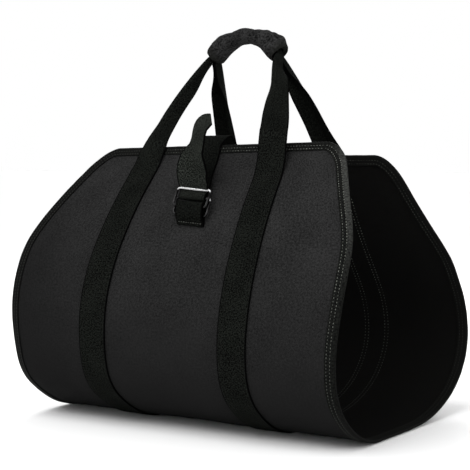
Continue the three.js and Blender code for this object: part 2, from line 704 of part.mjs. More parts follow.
const pieces = [
  ['canvas_panel', canvasGeometry(), canvasFinish],
  ['edge_binding', bindingGeometry(), bindingFinish],
  ['front_webbing', loopGeometry(FRONT), webbingFinish],
  ['back_webbing', loopGeometry(BACK), webbingFinish],
  ['grip_wrap', gripGeometry(), gripFinish],
  ['ring_tab', tabGeometry(), webbingFinish],
  ['closing_strap', strapGeometry(closingStrapStations(), HALF_WEBBING, WEBBING_WALL), webbingFinish],
  ['lower_ring', ringGeometry(LOWER_RING), steelFinish],
  ['upper_ring', ringGeometry(UPPER_RING), steelFinish],
];

const group = new THREE.Group();
for (const [name, geometry, finish] of pieces) {
  const mesh = new THREE.Mesh(geometry, finish);
  mesh.name = name;
  group.add(mesh);
}

// Origin under the middle of the whole carrier, where it stands
const box = new THREE.Box3().setFromObject(group);
group.position.set(-(box.min.x + box.max.x) / 2, -(box.min.y + box.max.y) / 2, -box.min.z);
group.updateMatrixWorld(true);

export default group;
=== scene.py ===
import math

import bpy
import numpy as np
from mathutils import Matrix, Vector, noise


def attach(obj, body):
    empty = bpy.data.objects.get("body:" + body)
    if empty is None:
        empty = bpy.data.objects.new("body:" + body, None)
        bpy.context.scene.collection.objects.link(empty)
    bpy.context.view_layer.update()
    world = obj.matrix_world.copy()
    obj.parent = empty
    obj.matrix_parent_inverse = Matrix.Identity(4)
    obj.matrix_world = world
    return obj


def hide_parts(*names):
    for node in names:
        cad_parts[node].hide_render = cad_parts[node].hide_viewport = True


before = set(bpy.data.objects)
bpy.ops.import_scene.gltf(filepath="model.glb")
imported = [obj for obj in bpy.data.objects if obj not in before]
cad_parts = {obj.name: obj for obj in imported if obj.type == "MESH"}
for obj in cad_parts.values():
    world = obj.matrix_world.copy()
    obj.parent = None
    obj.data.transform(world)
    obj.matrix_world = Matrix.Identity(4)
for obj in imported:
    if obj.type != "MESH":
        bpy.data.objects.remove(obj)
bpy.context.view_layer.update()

MM = 0.001
EYE = Vector((927.1, -1413.2, 325.8)) * MM
LENS = 101.3
SENSOR = 36
PITCH = 86.76
AZIMUTH = 33.61
FLOOR_SIZE = 60
PAPER_TONE = 0.97
# The room is brightest near the floor and dims towards its ceiling
WALL_TOP = 0.2
CEILING_START = 0.55
CEILING_LIGHT = 0.55

turn = (math.radians(PITCH), 0, math.radians(AZIMUTH))
bpy.ops.object.camera_add(location=EYE, rotation=turn)
camera = bpy.context.object
camera.data.lens = LENS
camera.data.sensor_width = SENSOR
bpy.context.scene.camera = camera
bpy.context.scene.view_settings.view_transform = "Standard"

bpy.ops.mesh.primitive_plane_add(size=FLOOR_SIZE)
floor = bpy.context.object
floor.name = "floor"
paper = bpy.data.materials.new("pale_paper")
paper.use_nodes = True
paper_sockets = paper.node_tree.nodes["Principled BSDF"].inputs
paper_sockets["Base Color"].default_value = (PAPER_TONE, PAPER_TONE, PAPER_TONE, 1)
paper_sockets["Roughness"].default_value = 0.9
floor.data.materials.append(paper)

room = bpy.context.scene.world or bpy.data.worlds.new("room")
bpy.context.scene.world = room
room.use_nodes = True
nodes, links = room.node_tree.nodes, room.node_tree.links
height = nodes.new("ShaderNodeSeparateXYZ")
dimming = nodes.new("ShaderNodeMapRange")
dimming.interpolation_type = "SMOOTHSTEP"
limits = {"From Min": WALL_TOP, "From Max": CEILING_START, "To Min": 1, "To Max": CEILING_LIGHT}
for socket, value in limits.items():
    dimming.inputs[socket].default_value = value
links.new(nodes.new("ShaderNodeTexCoord").outputs["Generated"], height.inputs["Vector"])
links.new(height.outputs["Z"], dimming.inputs["Value"])
links.new(dimming.outputs["Result"], nodes["Background"].inputs["Strength"])
nodes["Background"].inputs["Color"].default_value = (1, 1, 1, 1)


def aimed(kind, place, aim, **settings):
    """A lamp at a place, turned to its aim."""
    turn = (Vector(aim) - Vector(place)).to_track_quat("-Z", "Y").to_euler()
    bpy.ops.object.light_add(type=kind, location=place, rotation=turn)
    for name, value in settings.items():
        setattr(bpy.context.object.data, name, value)


aimed("SUN", place=(-0.5, -1.2, 2.4), aim=(0, 0, 0.2), energy=1.6, angle=math.radians(50))
aimed("AREA", place=(0.2, -1.6, 1.5), aim=(0, -0.1, 0.3), energy=9, size=0.9)
aimed("AREA", place=(1.5, -0.2, 0.9), aim=(0.1, 0, 0.25), energy=5, size=0.7)
aimed("AREA", place=(-0.9, 1.7, 1.3), aim=(0, 0.1, 0.25), energy=22, size=1.2)

# Canvas sheet.
# One sheet of heavy grey canvas, cut with slanted upper edges and rounded top corners. It
# hangs from the two loops as an open U, and its front is pulled a little further down at
# the left. Made flat, then hung in soft waves between the loops.

# Cut of the sheet, in mm like every size below, its slant in shares of half its length
SHEET_LENGTH = 990
SHEET_WIDTH = 460
TOP_EDGE_LENGTH = 340
CANVAS_WALL = 1.5
CORNER_HEIGHT = 35
CORNER_RUN = 21
SLANT_START = 0.716
SLANT_EASE = 0.05
# Curl of the front's left margin
CURL_WIDTH = 42
CURL_DEPTH = 8
CURL_START = 60
CURL_FULL = 200
# Waves of the cloth, still under the binding and beside the webbing
WAVE_DEPTH = 1.5
WRINKLE_DEPTH = 0.35
SIDE_EASE = 30
TOP_EASE = 40
WEBBING_LINE = 98
WEBBING_EASE = (19, 50)

SMOOTH_ANGLE = 50
GAP = 0.3
BINDING_LEG = 12
ORIGIN = Vector((0.03, -11.64, 3.60))
HALF_LENGTH = SHEET_LENGTH / 2
FRONT, BACK = -1, 1

# Slope of the cloth in degrees, from the middle of the bottom to the top edge
SHARES = np.linspace(0, 1, 11)
SLOPES = {
    "left": [0, 0, 23.5, 36, 75.5, 87.5, 108, 122.5, 127.5, 132, 126.5],
    "right": [0, 0, 25.5, 47.5, 85.5, 106, 112.5, 118, 124.5, 132.5, 128],
    "back": [0, 2, 14.5, 28, 54.5, 96, 122.5, 124, 118, 111.5, 106],
}
TRACE_STEPS = 198


def trace(column):
    """Runs and rises of one column of the cloth, followed in short steps."""
    step = HALF_LENGTH / TRACE_STEPS
    middles = (np.arange(TRACE_STEPS) + 0.5) / TRACE_STEPS
    slopes = np.radians(np.interp(middles, SHARES, SLOPES[column]))
    runs = np.concatenate([[0], np.cumsum(np.cos(slopes)) * step])
    rises = np.concatenate([[0], np.cumsum(np.sin(slopes)) * step])
    return runs, rises


TRACE_UPS = np.linspace(0, HALF_LENGTH, TRACE_STEPS + 1)
TRACES = {column: trace(column) for column in SLOPES}


def column_point(column, up):
    """Run, rise and slope of a column of the cloth, carried straight on past its end."""
    runs, rises = TRACES[column]
    slope = math.radians(np.interp(up / HALF_LENGTH, SHARES, SLOPES[column]))
    beyond = max(0, up - HALF_LENGTH)
    run = np.interp(up, TRACE_UPS, runs) + beyond * math.cos(slope)
    rise = np.interp(up, TRACE_UPS, rises) + beyond * math.sin(slope)
    return run, rise, slope


def smooth(value, low, high):
    """0 below low, 1 above high, and smooth between them."""
    share = min(max((value - low) / (high - low), 0), 1)
    return share * share * (3 - 2 * share)


def half_width(up):
    """Half the sheet's width at a height along it."""
    past = up / HALF_LENGTH - SLANT_START
    slant = (past + math.hypot(past, SLANT_EASE)) / 2 / (1 - SLANT_START)
    straight = SHEET_WIDTH / 2 + (TOP_EDGE_LENGTH / 2 - SHEET_WIDTH / 2) * slant
    corner = min(max((up - HALF_LENGTH) / CORNER_HEIGHT + 1, 0), 1)
    return straight - CORNER_RUN * (1 - math.sqrt(1 - corner * corner))


def margin_curl(side, across, up):
    """How far the front's left margin curls in towards the load."""
    if side == BACK:
        return 0
    into = max(0, (CURL_WIDTH - across - half_width(up)) / CURL_WIDTH)
    clear_of_corner = 1 - smooth(up, CURL_FULL, HALF_LENGTH - CORNER_HEIGHT)
    return CURL_DEPTH * into * into * smooth(up, CURL_START, CURL_FULL) * clear_of_corner


def sheet_point(side, across, up, off):
    """A point of the hanging sheet in mm, off its inner face by off."""
    left_run, left_rise, left_slope = column_point("left" if side == FRONT else "back", up)
    right_run, right_rise, right_slope = column_point("right" if side == FRONT else "back", up)
    share = across / SHEET_WIDTH + 0.5
    slope = left_slope + (right_slope - left_slope) * share
    level = Vector((SHEET_WIDTH, side * (right_run - left_run), right_rise - left_rise))
    rising = Vector((0, side * math.cos(slope), math.sin(slope)))
    outward = level.cross(rising).normalized() * -side
    run = left_run + (right_run - left_run) * share
    rise = left_rise + (right_rise - left_rise) * share
    return Vector((across, side * run, rise)) + outward * (off - margin_curl(side, across, up))


def wave(across, along):
    """Soft unevenness of hanging cloth in mm, none at its bound edge or under the webbing."""
    up = abs(along)
    from_side = half_width(up) - BINDING_LEG - abs(across)
    free = min(1, max(0, from_side) / SIDE_EASE) * min(1, (HALF_LENGTH - up) / TOP_EASE)
    free *= smooth(abs(abs(across) - WEBBING_LINE), *WEBBING_EASE)
    broad = noise.noise(Vector((across * 0.011, along * 0.0035, 3.1))) * WAVE_DEPTH
    fine = noise.noise(Vector((across * 0.034, along * 0.012, 7.7))) * WRINKLE_DEPTH
    return (broad + fine) * max(0, free)


def flat_grid(name, columns, rows):
    """A flat grid whose UV map gives each point's share of its width and length."""
    bpy.ops.object.select_all(action="DESELECT")
    bpy.ops.mesh.primitive_grid_add(x_subdivisions=columns, y_subdivisions=rows, size=1)
    piece = bpy.context.object
    piece.name = piece.data.name = name
    return piece


def shape(piece, place):
    """Moves each point of a flat grid to its place, given in mm in the sheet's frame."""
    flat = [(v.co.x + 0.5, v.co.y + 0.5) for v in piece.data.vertices]
    for vertex, (u, v) in zip(piece.data.vertices, flat):
        vertex.co = (place(u, v) + ORIGIN) * MM


def choose(piece):
    """Makes a piece the only one selected, and the active one."""
    bpy.ops.object.select_all(action="DESELECT")
    piece.select_set(True)
    bpy.context.view_layer.objects.active = piece


def face_outwards(piece, merge=False):
    """Turns a closed shape's faces outwards, where asked after its meeting ends are joined."""
    choose(piece)
    bpy.ops.object.mode_set(mode="EDIT")
    bpy.ops.mesh.select_all(action="SELECT")
    if merge:
        bpy.ops.mesh.remove_doubles(threshold=1e-6)
    bpy.ops.mesh.normals_make_consistent(inside=False)
    bpy.ops.object.mode_set(mode="OBJECT")


def give_wall(piece, wall):
    """Gives a shaped cloth its thickness, half to each side, and smooths its shading."""
    modifier = piece.modifiers.new("Wall", "SOLIDIFY")
    modifier.thickness = wall * MM
    modifier.offset = 0
    choose(piece)
    bpy.ops.object.modifier_apply(modifier=modifier.name)
    bpy.ops.object.shade_smooth_by_angle(angle=math.radians(SMOOTH_ANGLE))


def mark(piece, name, values):
    """Gives each point of a piece a number that a material can read by name."""
    piece.data.attributes.new(name, "FLOAT", "POINT").data.foreach_set("value", values)


class Wire:
    """One output of a material's nodes, which Python's operators add Math nodes to."""

    def __init__(self, material, socket):
        self.material, self.socket = material, socket

    def maths(self, operation, *values):
        inputs = dict(enumerate(values))
        return self.material.node("Math", {"operation": operation}, inputs)

    def __add__(self, other):
        return self.maths("ADD", self, other)

    def __sub__(self, other):
        return self.maths("SUBTRACT", self, other)

    def __rsub__(self, other):
        return self.maths("SUBTRACT", other, self)

    def __mul__(self, other):
        return self.maths("MULTIPLY", self, other)

    def sine(self):
        return self.maths("SINE", self)

    def above(self, low, high):
        """0 below low, 1 above high, and smooth between them."""
        ends = {"From Min": low, "From Max": high}
        return self.material.node(
            "MapRange", {"interpolation_type": "SMOOTHSTEP"}, {"Value": self, **ends})

    __radd__, __rmul__ = __add__, __mul__


class Finish:
    """A procedural material on one Principled shader."""

    def __init__(self, name, **constants):
        self.data = bpy.data.materials.new(name)
        self.data.use_nodes = True
        self.tree = self.data.node_tree
        self.shader = self.tree.nodes["Principled BSDF"]
        for socket, value in constants.items():
            self.shader.inputs[socket.replace("_", " ")].default_value = value

    def node(self, kind, settings=None, inputs=None, output=0):
        """One output of a new node, with its settings made first and its sockets filled."""
        node = self.tree.nodes.new("ShaderNode" + kind)
        for name, value in (settings or {}).items():
            setattr(node, name, value)
        for name, value in (inputs or {}).items():
            if isinstance(value, Wire):
                self.tree.links.new(value.socket, node.inputs[name])
            else:
                node.inputs[name].default_value = value
        return Wire(self, node.outputs[output])

    def uv(self, width, length):
        """The cloth's own place in mm, across and along it."""
        place = self.node("UVMap")
        return self.node("VectorMath", {"operation": "MULTIPLY"}, {0: place, 1: (width, length, 1)})

    def parts(self, vector):
        """The three numbers of a vector."""
        split = self.node("SeparateXYZ", {}, {"Vector": vector}).socket.node
        return [Wire(self, socket) for socket in split.outputs]

    def spot(self):
        """The place on the whole carrier, in metres."""
        return self.node("TexCoord", output=3)

    def number(self, name):
        """The number that each point was given under a name."""
        return self.node("Attribute", {"attribute_name": name}, output=2)

    def grain(self, vector, scale, stretch=(1, 1, 1), detail=2):
        """Noise of a scale in cells a unit, stretched by a factor on each axis."""
        moved = self.node("VectorMath", {"operation": "MULTIPLY"}, {0: vector, 1: stretch})
        return self.node("TexNoise", {}, {"Vector": moved, "Scale": scale, "Detail": detail})

    def mix(self, factor, first, second):
        """A colour between two, each given in linear light."""
        inputs = {"Factor": factor, 6: first, 7: second}
        return self.node("Mix", {"data_type": "RGBA"}, inputs, output=2)

    def show(self, colour, height=None, depth=0.0):
        """Puts a colour on the shader, and a height in shares of a depth in mm."""
        self.tree.links.new(colour.socket, self.shader.inputs["Base Color"])
        if height is not None:
            inputs = {"Height": height, "Strength": 1.0, "Distance": depth * MM}
            normal = self.node("Bump", {}, inputs)
            self.tree.links.new(normal.socket, self.shader.inputs["Normal"])


def grey(value, tint=(1, 1, 1)):
    """A linear colour from a value of 0 to 255 in sRGB, tinted a little."""
    linear = ((value / 255 + 0.055) / 1.055) ** 2.4 if value > 10 else value / 255 / 12.92
    return (linear * tint[0], linear * tint[1], linear * tint[2], 1)


def weave(finish, place, pitch):
    """Height of a plain weave, threads over and under each other at a pitch in mm."""
    turn = 2 * math.pi / pitch
    warp, weft, _ = finish.parts(place)
    return (warp * turn).sine() * (weft * turn).sine()


# Worn in streaks and specks, the streaks partly a painted sheen, with painted shade low down and at
# the lower left, and the darkest painted shade on its inner face
canvas_finish = Finish("grey_canvas", Roughness=0.95, Specular_IOR_Level=0.03)
place = canvas_finish.uv(SHEET_WIDTH, SHEET_LENGTH)
# Streaks along the cloth, partly its own uneven tone and partly a painted sheen
sheen_streaks = canvas_finish.grain(place, 0.4, stretch=(1, 0.2, 1))
mottle = canvas_finish.grain(place, 0.02, detail=4)
speckle = canvas_finish.grain(place, 0.42, detail=3)
shade = sheen_streaks * 0.15 + mottle * 0.2 + speckle * 0.65
colour = canvas_finish.mix(shade.above(0.28, 0.72), grey(20), grey(53))
sideways, _, upward = canvas_finish.parts(canvas_finish.spot())
# Painted shade: the canvas is painted darker towards the bottom
colour = canvas_finish.mix(upward.above(-0.05, 0.34), grey(25), colour)
# Painted shade: the lower left of the canvas is painted darker
left_low_shade = (1 - sideways.above(-0.24, -0.08)) * (1 - upward.above(0.2, 0.33))
colour = canvas_finish.mix(left_low_shade * 0.55, colour, grey(17))
# Painted shade: the inner face, out of the light inside the carrier, is painted darker
inner_face = canvas_finish.number("inner_face")
colour = canvas_finish.mix(inner_face, colour, grey(15, (1, 1, 0.93)))
canvas_finish.show(colour, weave(canvas_finish, place, 1.1) + speckle * 1.6, depth=0.2)

canvas = flat_grid("canvas_sheet", columns=96, rows=208)


def canvas_place(u, v):
    """A point of the wavy sheet, at shares of its width and length."""
    along = (v - 0.5) * SHEET_LENGTH
    across = (u - 0.5) * 2 * half_width(abs(along))
    side = FRONT if along < 0 else BACK
    return sheet_point(side, across, abs(along), CANVAS_WALL / 2 + wave(across, along))


shape(canvas, canvas_place)
give_wall(canvas, CANVAS_WALL)

# The wall keeps each face's points together, and the inner face is the upper one at the bottom
points = canvas.data.vertices
count = len(points) // 2
first_is_inner = points[count // 2].co.z > points[count + count // 2].co.z
inner = np.repeat([first_is_inner, not first_is_inner], count).astype(float)
mark(canvas, "inner_face", inner)
canvas.data.materials.append(canvas_finish.data)
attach(canvas, "root")
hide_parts("canvas_panel")

# Edge binding.
# Black tape folded over the raw edge all the way round, and sewn down through the canvas
# with a pale twin seam that shows on both faces.
BINDING_WALL = 1.0
TAPE_WALL = 0.9 * BINDING_WALL
SEAM_DEPTHS = (9.6, 5)
SEAM_PULL = 0.15
RIPPLE = 0.25
FOLD_INSET = 1.2
FOLD_FLATNESS = 0.7
EDGE_LENGTH = 2780
OUTER_OFF = CANVAS_WALL + GAP + BINDING_WALL / 2
INNER_OFF = -GAP - BINDING_WALL / 2
FOLD_RADIUS = (OUTER_OFF - INNER_OFF) / 2


def edge_outline():
    """Places round the sheet's edge, across and along it, counter-clockwise."""
    corner = HALF_LENGTH - CORNER_HEIGHT * (1 - np.sin(np.linspace(0, math.pi / 2, 12)))
    ups = np.concatenate([np.arange(0, HALF_LENGTH - CORNER_HEIGHT, 4.4), corner])
    right = [(half_width(up), -up) for up in ups[:0:-1]] + [(half_width(up), up) for up in ups]
    flat = half_width(HALF_LENGTH)
    top = [(across, HALF_LENGTH) for across in np.linspace(flat, -flat, 70)[1:-1]]
    half = right + top
    return half + [(-across, -along) for across, along in half]


def edge_inward(outline, i):
    """Way into the sheet at one place of its outline."""
    before, place, after = outline[i - 1], outline[i], outline[(i + 1) % len(outline)]
    first = (Vector(place) - Vector(before)).normalized()
    second = (Vector(after) - Vector(place)).normalized()
    mean = (first + second).normalized()
    return Vector((-mean.y, mean.x)) / mean.dot(first)


outline = edge_outline()
inward = [edge_inward(outline, i) for i in range(len(outline))]


def on_edge(i, depth, off):
    """A point of the tape: depth in from the edge of the cloth, off from its inner face."""
    i %= len(outline)
    flat = Vector(outline[i]) + inward[i] * depth
    return sheet_point(FRONT if flat.y < 0 else BACK, flat.x, abs(flat.y), off)


def fold_place(turn):
    """Depth and off of the tape at one turn of its fold over the edge."""
    depth = FOLD_INSET - (FOLD_INSET + FOLD_RADIUS * FOLD_FLATNESS) * math.cos(turn)
    return depth, CANVAS_WALL / 2 + FOLD_RADIUS * math.sin(turn)


leaf = [(depth, OUTER_OFF) for depth in (BINDING_LEG, 10.8, 9.6, 8.4, 6.4, 5, 3.6, 2)]
fold = [fold_place(turn) for turn in np.linspace(math.pi / 2, -math.pi / 2, 7)[1:-1]]
tape_profile = leaf + fold + [(depth, INNER_OFF) for depth, off in reversed(leaf)]

binding = flat_grid("binding_tape", columns=len(tape_profile) - 1, rows=len(outline))


def tape_place(u, v):
    """A point of the tape, rippled, and drawn in along its seams."""
    depth, off = tape_profile[round(u * (len(tape_profile) - 1))]
    i = round(v * len(outline)) % len(outline)
    ripple = noise.noise(Vector((i * 0.31, depth * 0.1, 1.7))) * RIPPLE
    pull = SEAM_PULL if depth in SEAM_DEPTHS else 0
    outwards = 1 if off > 0.5 * CANVAS_WALL else -1
    return on_edge(i, depth + ripple, off + outwards * (abs(ripple) * 0.5 - pull))


shape(binding, tape_place)
face_outwards(binding, merge=True)
give_wall(binding, TAPE_WALL)

# Black, with painted shade at the left and low down, and paler on the rim of its upper right
binding_finish = Finish("black_tape", Roughness=0.75, Specular_IOR_Level=0.04)
place = binding_finish.uv(2 * BINDING_LEG, EDGE_LENGTH)
wear = binding_finish.grain(place, 0.5, detail=3).above(0.3, 0.7)
around = binding_finish.parts(binding_finish.node("UVMap"))[0]
sideways, _, upward = binding_finish.parts(binding_finish.spot())
# Painted shade: away from the lit upper right, at the left and low down, the tape is painted darker
black = binding_finish.mix(wear, grey(3, (1, 1.03, 0.95)), grey(23, (0.97, 1.06, 0.92)))
shaded = binding_finish.mix(wear, grey(2), grey(15, (1, 1.04, 0.93)))
pale_rim = binding_finish.mix(wear, grey(26), grey(62, (1, 1.04, 0.95)))
lit = sideways.above(-0.19, -0.02) * (upward.above(0, 0.17) * 0.7 + 0.3)
# Paler on the rim of the upper right only
pale_rim_place = around.above(0.22, 0.3) * sideways.above(0.15, 0.185) * upward.above(0.17, 0.3)
colour = binding_finish.mix(pale_rim_place, binding_finish.mix(lit, shaded, black), pale_rim)
# Painted shade: the tape's inner leaf, inside the carrier, is painted darker
colour = binding_finish.mix(around.above(0.44, 0.54), colour, grey(13, (1, 1.03, 0.93)))
binding_finish.show(colour, weave(binding_finish, place, 1.6), depth=0.12)
binding.data.materials.append(binding_finish.data)
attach(binding, "root")
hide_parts("edge_binding")

# Stitches of the binding.
# Two rows of pale grey thread on each face of the tape, one short stitch after another,
# each a small bead of thread pressed into the tape.
STITCH_PITCH = 3.9
STITCH_SIZE = (2.2, 1, 0.7)
INNER_STITCH_SIZE = (2.2, 0.9, 0.7)
SUNK = 0.1


def sew(name, places, size, material):
    """One thread: a copy of the same small stitch at each place, along a way and off a face."""
    bpy.ops.object.select_all(action="DESELECT")
    bpy.ops.mesh.primitive_uv_sphere_add(segments=6, ring_count=4, radius=0.5)
    stitch = bpy.context.object
    points = np.array([v.co for v in stitch.data.vertices]) * np.array(size) * MM
    faces = [list(p.vertices) for p in stitch.data.polygons]
    bpy.data.objects.remove(stitch)
    all_points, all_faces = [], []
    for i, (point, way, out) in enumerate(places):
        side = out.cross(way).normalized()
        turn = np.array([way.normalized(), side, way.cross(side).normalized() * -1]).T
        all_points.append(points @ turn.T + np.array((point + ORIGIN) * MM))
        all_faces += [[corner + i * len(points) for corner in face] for face in faces]
    mesh = bpy.data.meshes.new(name)
    mesh.from_pydata(np.concatenate(all_points).tolist(), [], all_faces)
    thread = bpy.data.objects.new(name, mesh)
    bpy.context.collection.objects.link(thread)
    face_outwards(thread)
    bpy.ops.object.shade_smooth()
    mesh.materials.append(material)
    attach(thread, "root")
    return thread


def even_places(points, outs, pitch):
    """Places at an even pitch along a line of points."""
    steps = [(b - a).length for a, b in zip(points, points[1:])]
    lengths = np.concatenate([[0], np.cumsum(steps)])
    places = []
    for at in np.arange(pitch / 2, lengths[-1], pitch):
        i = min(int(np.searchsorted(lengths, at)) - 1, len(points) - 2)
        share = (at - lengths[i]) / (lengths[i + 1] - lengths[i])
        places.append((points[i].lerp(points[i + 1], share), points[i + 1] - points[i], outs[i]))
    return places


def thread_of(name, dark, pale):
    """Thread whose tone changes from stitch to stitch, with painted shade low down and at the left.
    """
    thread = Finish(name, Roughness=0.7, Specular_IOR_Level=0.1)
    sideways, _, upward = thread.parts(thread.spot())
    # Painted shade: the thread is painted darker at the left and low down
    lit_share = sideways.above(-0.17, 0.1) * (upward.above(0.03, 0.28) * 0.8 + 0.2)
    shade = thread.grain(thread.spot(), 240, detail=1).above(0.3, 0.7) * lit_share
    tint = (1, 1.04, 0.92)
    thread.show(thread.mix(shade, grey(dark, tint), grey(pale, tint)), shade, depth=0.05)
    return thread.data


pale_thread = thread_of("pale_thread", 46, 116)
# Painted shade: the inner stitches are the same pale thread, painted darker inside the carrier
shaded_thread = thread_of("shaded_thread", 24, 66)


def binding_seam(off, outwards):
    """Places of both rows of stitches on one face of the tape."""
    places = []
    for depth in SEAM_DEPTHS:
        line = [on_edge(i, depth, off) for i in range(len(outline) + 1)]
        outs = [(on_edge(i, depth, off + 1) - point) * outwards for i, point in enumerate(line)]
        places += even_places(line, outs, STITCH_PITCH)
    return places


outer_seam = binding_seam(OUTER_OFF + BINDING_WALL / 2 - SUNK, 1)
inner_seam = binding_seam(INNER_OFF - BINDING_WALL / 2 + SUNK, -1)
sew("binding_stitches", outer_seam, STITCH_SIZE, pale_thread)
sew("binding_inner_stitches", inner_seam, INNER_STITCH_SIZE, shaded_thread)

# Carrying loops.
# Two lengths of heavy black webbing. Each is sewn up one line of the sheet, leaves it below
# the top edge, folds lengthwise into the grip and comes down the other line.
WEBBING_WIDTH = 38
WEBBING_WALL = 1.8
CREASE_WIDTH = 4
LOOP_SPACING = 200
EDGE_OVERRUN = 3
STAND_OFF_LENGTH = 56
STAND_OFF = {"frontLeft": 11, "frontRight": 19.5, "backLeft": 9.5, "backRight": 0}
LIFT_POWER = 1.3
TOP_LINES = {"frontLeft": 0.915, "frontRight": 0.85, "backLeft": 0.785, "backRight": 0.825}
# Fold of each leg in degrees, from the sheet to the grip
FOLD_SHARES = [0, 0.12, 0.3, 0.45, 0.6, 0.7, 0.78, 1]
LEG_FOLD = {
    "frontLeft": [33, 42, 56, 64, 68, 80, 90, 90],
    "frontRight": [0, 4, 12, 28, 48, 76, 90, 90],
    "backLeft": [28, 33, 39, 45, 55, 76, 90, 90],
    "backRight": [0, 26, 47, 50, 57, 76, 90, 90],
}
# How far each leg leans out as it reaches the grip, and how soon it turns there
LEG_ENDS = {
    "frontLeft": (0.75, 0.15),
    "frontRight": (2.2, 0.35),
    "backLeft": (1.3, 0.2),
    "backRight": (0.75, 0.08),
}
LEAVING_EASE = 0.2
GATHER = 0.68
GATHER_START = 0.55
FOLD_BLUR = 0.06
FOLD_STEPS = 12
CREASE_START = 0.3
CREASE_BEND = 2.6
RAISE_START = 2.4 * BINDING_LEG
RAISE_END = 1.1 * BINDING_LEG
LEVEL_SHARE = 0.35
GRIP_SPAN = 96
GRIP_DROP = 25
GRIP_RISE = 140
GRIP_SHIFT = -2
HALF_WEBBING = WEBBING_WIDTH / 2
FOLD_DEPTH = (WEBBING_WIDTH - CREASE_WIDTH) / 2
FRONT_TOP = sheet_point(FRONT, 0, HALF_LENGTH, CANVAS_WALL)
BACK_TOP = sheet_point(BACK, 0, HALF_LENGTH, CANVAS_WALL)
GRIP_MIDDLE = Vector((GRIP_SHIFT, (FRONT_TOP.y + BACK_TOP.y) / 2, FRONT_TOP.z + GRIP_RISE))


def leg_name(side, leg):
    """Name of a loop's leg in the tables, leg being -1 at the left and 1 at the right."""
    return ("front" if side == FRONT else "back") + ("Left" if leg < 0 else "Right")


def loop_line(side, leg, up):
    """Middle line of a leg's webbing, across the sheet."""
    share = min(up / HALF_LENGTH, 1)
    return leg * (1 + (TOP_LINES[leg_name(side, leg)] - 1) * share ** 3) * LOOP_SPACING / 2


def lift_at(up):
    """Share of its lift that a loop has where it leaves the sheet near the top."""
    above = max(0, up - HALF_LENGTH + STAND_OFF_LENGTH)
    return (above / (STAND_OFF_LENGTH + EDGE_OVERRUN)) ** LIFT_POWER


def loop_off(side, leg, up):
    """How far a loop's inner face is off the sheet's inner face."""
    raised = smooth(up, HALF_LENGTH - RAISE_START, HALF_LENGTH - RAISE_END)
    lift = lift_at(up) * STAND_OFF[leg_name(side, leg)]
    return CANVAS_WALL + GAP + raised * (BINDING_WALL + 3 * GAP) + lift


def grip_frame(share):
    """Middle, way along and way up of the grip's arch, from -1 at the left to 1."""
    middle = GRIP_MIDDLE + Vector((share * GRIP_SPAN / 2, 0, -GRIP_DROP * share * share))
    way = Vector((GRIP_SPAN / 2, 0, -2 * GRIP_DROP * share)).normalized()
    return middle, way, Vector((-way.z, 0, way.x))


def folded_point(crease, way, level, folding, t):
    """Middle of the webbing's wall t mm from its crease, its halves folded inwards."""
    width = (level - way * level.dot(way)).normalized()
    inner = way.cross(width)
    steps = (np.arange(FOLD_STEPS) + 0.5) / FOLD_STEPS * abs(t)
    turns = folding * np.clip((steps - CREASE_START) / CREASE_BEND, 0, 1)
    reach = np.cos(turns).mean() * abs(t)
    depth = np.sin(turns).mean() * abs(t)
    return crease + inner * (WEBBING_WALL / 2 + depth) + width * math.copysign(reach, t)


def curve_point(hull, share):
    """A point of the smooth curve through the first and last of four leading points."""
    rest = 1 - share
    return (hull[0] * rest ** 3 + hull[1] * 3 * rest ** 2 * share
            + hull[2] * 3 * rest * share ** 2 + hull[3] * share ** 3)


def curve_way(hull, share):
    """The way along that curve."""
    rest = 1 - share
    return ((hull[1] - hull[0]) * rest ** 2 + (hull[2] - hull[1]) * 2 * rest * share
            + (hull[3] - hull[2]) * share ** 2).normalized()


